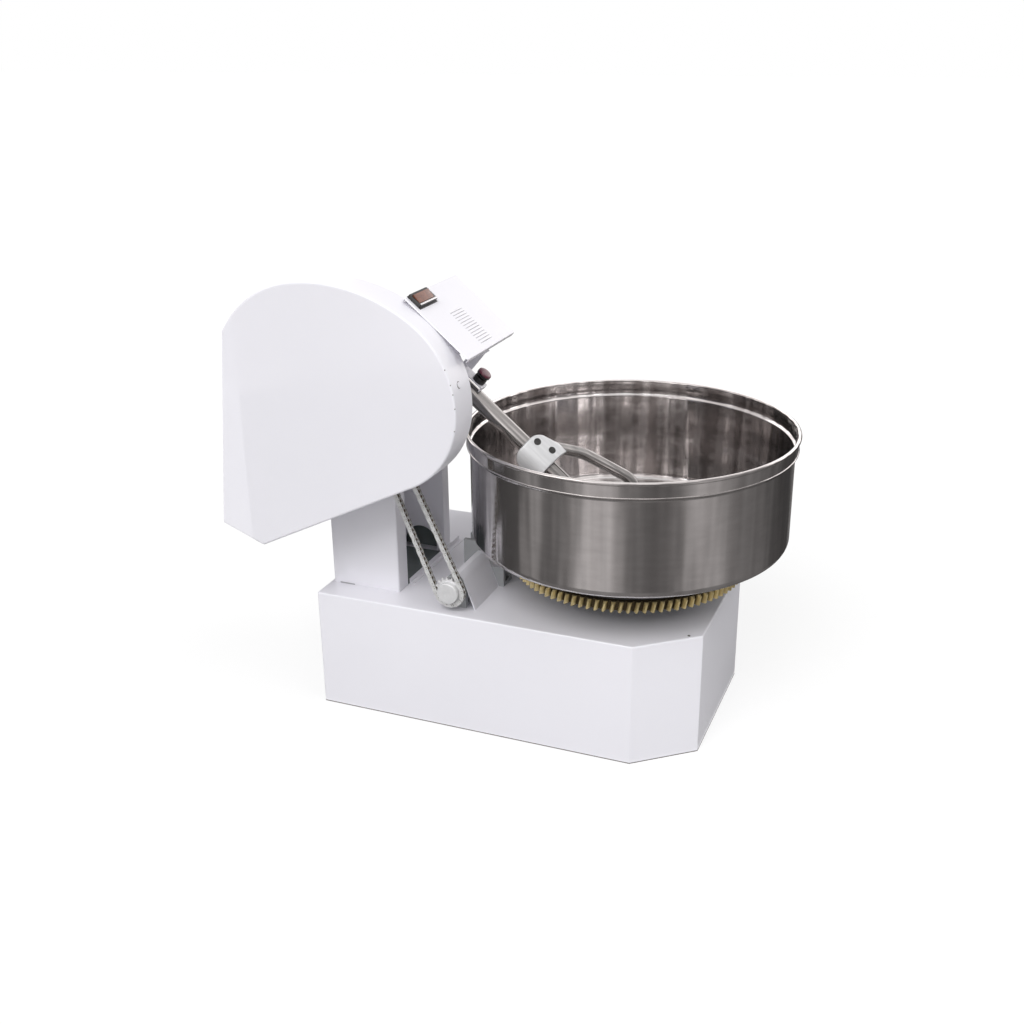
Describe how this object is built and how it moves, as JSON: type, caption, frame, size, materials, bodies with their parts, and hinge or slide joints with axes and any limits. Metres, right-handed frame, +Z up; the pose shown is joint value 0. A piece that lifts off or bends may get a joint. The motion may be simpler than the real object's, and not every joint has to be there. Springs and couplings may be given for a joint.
{
  "type": "dough mixer",
  "caption": "Fork dough mixer: a large steel bowl turned by a brass ring and worm, an inclined fork driven from a worm head, belt guard, chain drive and white cabinet base.",
  "frame": {"origin": "centre of the base's rectangular footprint, on the floor", "axes": "+X from the column to the bowl, +Y to the back (away from the belt guard), +Z up"},
  "size_m": [1.6352, 1.0073, 1.3931],
  "materials": {
    "white_paint": "gloss",
    "stainless": "satin, turned",
    "polished_steel": "polished",
    "machined_steel": "machined",
    "chain_steel": "bright",
    "brass": "machined",
    "cast_iron": "turned",
    "motor_paint": "satin",
    "rotor_steel": "machined",
    "black_plastic": "matt",
    "red_plastic": "gloss",
    "amber_plastic": "gloss",
    "rubber": "matt"
  },
  "bodies": {
    "frame": {"base_shell": "white_paint", "base_floor_plate": "white_paint", "belt_guard": "white_paint", "box_support": "white_paint", "column_back_panel": "white_paint", "column_foot_strip": "white_paint", "column_front_post": "white_paint", "column_rear_post": "white_paint", "column_top_plate": "white_paint", "control_box": "white_paint", "control_lid": "white_paint", "guard_back_plate": "white_paint", "guard_standoffs": "white_paint", "head_housing": "white_paint", "head_foot_plate": "white_paint", "head_pedestal": "white_paint", "pivot_housing": "white_paint", "shaft_brackets": "white_paint", "stop_bracket": "white_paint", "transfer_case": "white_paint", "worm_hood": "white_paint", "bearing_caps": "white_paint", "bowl_bearings": "machined_steel", "drive_bearings": "machined_steel", "head_bearings": "machined_steel", "machine_bolts": "machined_steel", "cover_screws": "machined_steel", "drive_chain": "chain_steel", "motor_housing": "motor_paint", "fan_cowl": "motor_paint", "terminal_box": "motor_paint", "motor_plate": "motor_paint", "switch_frame": "black_plastic", "stop_collar": "black_plastic", "cable_gland": "black_plastic", "v_belts": "rubber"},
    "main_shaft": {"main_shaft": "machined_steel", "drive_pulley": "cast_iron", "drive_sprocket": "machined_steel", "head_worm": "machined_steel"},
    "motor_rotor": {"motor_rotor": "rotor_steel", "motor_pulley": "cast_iron", "motor_fan": "black_plastic"},
    "fork": {"fork_shaft": "polished_steel", "worm_wheel": "brass", "fork_saddle": "stainless", "fork_tines": "polished_steel", "saddle_bolts": "polished_steel"},
    "input_shaft": {"input_shaft": "machined_steel", "driven_sprocket": "machined_steel", "transfer_pinion": "machined_steel"},
    "worm_shaft": {"worm_shaft": "machined_steel", "transfer_gear": "machined_steel", "bowl_worm": "machined_steel"},
    "bowl": {"bowl": "stainless", "bowl_carrier": "cast_iron", "bowl_spindle": "machined_steel", "ring_gear": "brass"},
    "stop_cap": {"stop_cap": "red_plastic"},
    "switch_rocker": {"switch_rocker": "amber_plastic"}
  },
  "joints": [
    {"name": "main_spin", "type": "hinge", "parent": "frame", "child": "main_shaft", "pos_m": [-0.43011, -0.2425, 1.09503], "axis": [0, 1, 0], "continuous": true, "deforming": ["drive_chain"]},
    {"name": "motor_spin", "type": "hinge", "parent": "frame", "child": "motor_rotor", "pos_m": [-0.72201, -0.25, 0.74503], "axis": [0, 1, 0], "continuous": true},
    {"name": "fork_spin", "type": "hinge", "parent": "frame", "child": "fork", "pos_m": [-0.1094, -0.2425, 1.03401], "axis": [0.766, 0, -0.6428], "continuous": true},
    {"name": "input_spin", "type": "hinge", "parent": "frame", "child": "input_shaft", "pos_m": [-0.15277, -0.24, 0.45413], "axis": [0, 1, 0], "continuous": true},
    {"name": "worm_spin", "type": "hinge", "parent": "frame", "child": "worm_shaft", "pos_m": [-0.0946, 0, 0.482], "axis": [0, 1, 0], "continuous": true},
    {"name": "bowl_spin", "type": "hinge", "parent": "frame", "child": "bowl", "pos_m": [0.293, 0, 0.482], "axis": [0, 0, 1], "continuous": true},
    {"name": "stop_press", "type": "slide", "parent": "frame", "child": "stop_cap", "axis": [-0.6428, 0, -0.766], "range_m": [0, 0.005], "stiffness_N_per_m": 600},
    {"name": "switch_rock", "type": "hinge", "parent": "frame", "child": "switch_rocker", "pos_m": [-0.20361, -0.366, 1.34411], "axis": [0, -1, 0], "range_deg": [0, 14]}
  ],
  "couplings": [
    {"joint": "motor_spin", "follows": "main_spin", "ratio": 3.871},
    {"joint": "fork_spin", "follows": "main_spin", "ratio": -0.1},
    {"joint": "input_spin", "follows": "main_spin", "ratio": 0.64706},
    {"joint": "worm_spin", "follows": "main_spin", "ratio": -0.56266},
    {"joint": "bowl_spin", "follows": "main_spin", "ratio": -0.012232}
  ]
}
